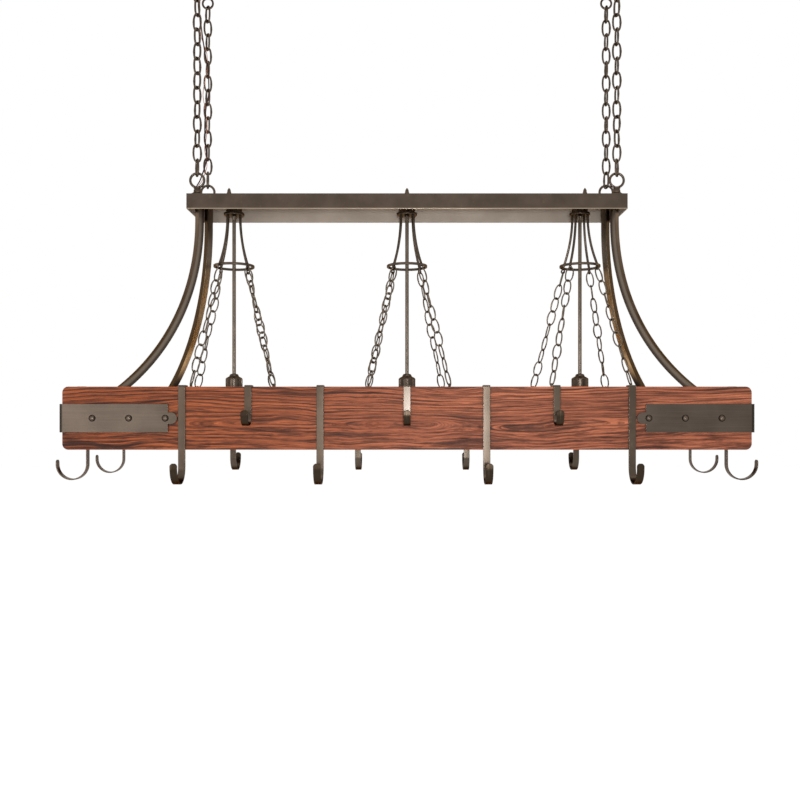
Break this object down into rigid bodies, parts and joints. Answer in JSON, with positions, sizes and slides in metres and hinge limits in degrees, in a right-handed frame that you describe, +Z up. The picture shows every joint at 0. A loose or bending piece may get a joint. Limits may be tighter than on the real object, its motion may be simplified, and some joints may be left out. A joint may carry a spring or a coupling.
{
  "type": "hanging pot rack",
  "caption": "Long oak-framed pot rack hung on chains, with sliding pot hooks round the frame and bowl lamps under a steel tray.",
  "frame": {"origin": "middle of the ceiling plane, between the two canopies; everything hangs below it", "axes": "+X along the rack to its right-hand end, -Y towards its front, +Z up"},
  "size_m": [1.6258, 0.6044, 1.2265],
  "materials": {
    "bronze": "satin dark bronze",
    "brushed_steel": "brushed, darkened",
    "oak": "red-brown stain, satin",
    "shade_glass": "frosted amber",
    "bulb_glass": "frosted",
    "cord": "brown cord",
    "copper": "bare copper"
  },
  "bodies": {
    "ceiling": {"canopy_left": "bronze", "canopy_right": "bronze"},
    "chain_front_left": {"chain_front_left": "bronze", "lamp_cord": "cord", "earth_wire": "copper"},
    "chain_back_left": {"chain_back_left": "bronze"},
    "chain_front_right": {"chain_front_right": "bronze"},
    "chain_back_right": {"chain_back_right": "bronze"},
    "rack": {"loop_front_left": "bronze", "loop_back_left": "bronze", "loop_front_right": "bronze", "loop_back_right": "bronze", "tray": "bronze", "arm_front_left": "bronze", "arm_back_left": "bronze", "arm_front_right": "bronze", "arm_back_right": "bronze", "board_front": "oak", "board_back": "oak", "board_left": "oak", "board_right": "oak", "strap_left": "brushed_steel", "strap_right": "brushed_steel", "lamp_left_crown": "bronze", "lamp_left_hangers": "bronze", "lamp_left_stem": "bronze", "lamp_left_socket": "bronze", "lamp_left_bowl": "shade_glass", "lamp_middle_crown": "bronze", "lamp_middle_hangers": "bronze", "lamp_middle_stem": "bronze", "lamp_middle_socket": "bronze", "lamp_middle_bowl": "shade_glass", "lamp_right_crown": "bronze", "lamp_right_hangers": "bronze", "lamp_right_stem": "bronze", "lamp_right_socket": "bronze", "lamp_right_bowl": "shade_glass"},
    "hook_front_long_1": {"hook_front_long_1": "bronze"},
    "hook_front_long_2": {"hook_front_long_2": "bronze"},
    "hook_front_long_3": {"hook_front_long_3": "bronze"},
    "hook_front_long_4": {"hook_front_long_4": "bronze"},
    "hook_front_short_1": {"hook_front_short_1": "bronze"},
    "hook_front_short_2": {"hook_front_short_2": "bronze"},
    "hook_front_short_3": {"hook_front_short_3": "bronze"},
    "hook_back_long_1": {"hook_back_long_1": "bronze"},
    "hook_back_long_2": {"hook_back_long_2": "bronze"},
    "hook_back_long_3": {"hook_back_long_3": "bronze"},
    "hook_back_long_4": {"hook_back_long_4": "bronze"},
    "hook_back_short_1": {"hook_back_short_1": "bronze"},
    "hook_back_short_2": {"hook_back_short_2": "bronze"},
    "hook_back_short_3": {"hook_back_short_3": "bronze"},
    "hook_left_front": {"hook_left_front": "bronze"},
    "hook_left_back": {"hook_left_back": "bronze"},
    "hook_right_front": {"hook_right_front": "bronze"},
    "hook_right_back": {"hook_right_back": "bronze"},
    "bulb_left": {"lamp_left_bulb": "bulb_glass"},
    "bulb_middle": {"lamp_middle_bulb": "bulb_glass"},
    "bulb_right": {"lamp_right_bulb": "bulb_glass"}
  },
  "joints": [
    {"name": "sway_front_left", "type": "hinge", "parent": "ceiling", "child": "chain_front_left", "pos_m": [-0.5046, -0.056, -0.046], "axis": [1, 0, 0], "range_deg": [-10, 10], "deforming": ["lamp_cord", "earth_wire"]},
    {"name": "sway_back_left", "type": "hinge", "parent": "ceiling", "child": "chain_back_left", "pos_m": [-0.5046, 0.056, -0.046], "axis": [1, 0, 0], "range_deg": [-10, 10]},
    {"name": "sway_front_right", "type": "hinge", "parent": "ceiling", "child": "chain_front_right", "pos_m": [0.5046, -0.056, -0.046], "axis": [1, 0, 0], "range_deg": [-10, 10]},
    {"name": "sway_back_right", "type": "hinge", "parent": "ceiling", "child": "chain_back_right", "pos_m": [0.5046, 0.056, -0.046], "axis": [1, 0, 0], "range_deg": [-10, 10]},
    {"name": "rack_level", "type": "hinge", "parent": "chain_front_left", "child": "rack", "pos_m": [-0.5046, -0.056, -0.4944], "axis": [1, 0, 0], "range_deg": [-10, 10]},
    {"name": "hook_front_long_1_slide", "type": "slide", "parent": "rack", "child": "hook_front_long_1", "axis": [1, 0, 0], "range_m": [0, 0.055]},
    {"name": "hook_front_long_2_slide", "type": "slide", "parent": "rack", "child": "hook_front_long_2", "axis": [1, 0, 0], "range_m": [-0.055, 0.055]},
    {"name": "hook_front_long_3_slide", "type": "slide", "parent": "rack", "child": "hook_front_long_3", "axis": [1, 0, 0], "range_m": [-0.055, 0.055]},
    {"name": "hook_front_long_4_slide", "type": "slide", "parent": "rack", "child": "hook_front_long_4", "axis": [1, 0, 0], "range_m": [-0.055, 0]},
    {"name": "hook_front_short_1_slide", "type": "slide", "parent": "rack", "child": "hook_front_short_1", "axis": [1, 0, 0], "range_m": [-0.055, 0.055]},
    {"name": "hook_front_short_2_slide", "type": "slide", "parent": "rack", "child": "hook_front_short_2", "axis": [1, 0, 0], "range_m": [-0.055, 0.055]},
    {"name": "hook_front_short_3_slide", "type": "slide", "parent": "rack", "child": "hook_front_short_3", "axis": [1, 0, 0], "range_m": [-0.055, 0.055]},
    {"name": "hook_back_long_1_slide", "type": "slide", "parent": "rack", "child": "hook_back_long_1", "axis": [1, 0, 0], "range_m": [-0.02, 0.055]},
    {"name": "hook_back_long_2_slide", "type": "slide", "parent": "rack", "child": "hook_back_long_2", "axis": [1, 0, 0], "range_m": [-0.055, 0.055]},
    {"name": "hook_back_long_3_slide", "type": "slide", "parent": "rack", "child": "hook_back_long_3", "axis": [1, 0, 0], "range_m": [-0.055, 0.055]},
    {"name": "hook_back_long_4_slide", "type": "slide", "parent": "rack", "child": "hook_back_long_4", "axis": [1, 0, 0], "range_m": [-0.055, 0.03]},
    {"name": "hook_back_short_1_slide", "type": "slide", "parent": "rack", "child": "hook_back_short_1", "axis": [1, 0, 0], "range_m": [-0.055, 0.055]},
    {"name": "hook_back_short_2_slide", "type": "slide", "parent": "rack", "child": "hook_back_short_2", "axis": [1, 0, 0], "range_m": [-0.055, 0.055]},
    {"name": "hook_back_short_3_slide", "type": "slide", "parent": "rack", "child": "hook_back_short_3", "axis": [1, 0, 0], "range_m": [-0.055, 0.055]},
    {"name": "hook_left_front_slide", "type": "slide", "parent": "rack", "child": "hook_left_front", "axis": [0, 1, 0], "range_m": [-0.05, 0.05]},
    {"name": "hook_left_back_slide", "type": "slide", "parent": "rack", "child": "hook_left_back", "axis": [0, 1, 0], "range_m": [-0.05, 0.05]},
    {"name": "hook_right_front_slide", "type": "slide", "parent": "rack", "child": "hook_right_front", "axis": [0, 1, 0], "range_m": [-0.05, 0.05]},
    {"name": "hook_right_back_slide", "type": "slide", "parent": "rack", "child": "hook_right_back", "axis": [0, 1, 0], "range_m": [-0.05, 0.05]},
    {"name": "bulb_left_turn", "type": "hinge", "parent": "rack", "child": "bulb_left", "pos_m": [-0.427, 0, -1.02975], "axis": [0, 0, 1], "continuous": true},
    {"name": "bulb_middle_turn", "type": "hinge", "parent": "rack", "child": "bulb_middle", "pos_m": [0, 0, -1.02975], "axis": [0, 0, 1], "continuous": true},
    {"name": "bulb_right_turn", "type": "hinge", "parent": "rack", "child": "bulb_right", "pos_m": [0.427, 0, -1.02975], "axis": [0, 0, 1], "continuous": true}
  ],
  "couplings": [
    {"joint": "sway_back_left", "follows": "sway_front_left", "ratio": 1},
    {"joint": "sway_front_right", "follows": "sway_front_left", "ratio": 1},
    {"joint": "sway_back_right", "follows": "sway_front_left", "ratio": 1},
    {"joint": "rack_level", "follows": "sway_front_left", "ratio": -1}
  ]
}
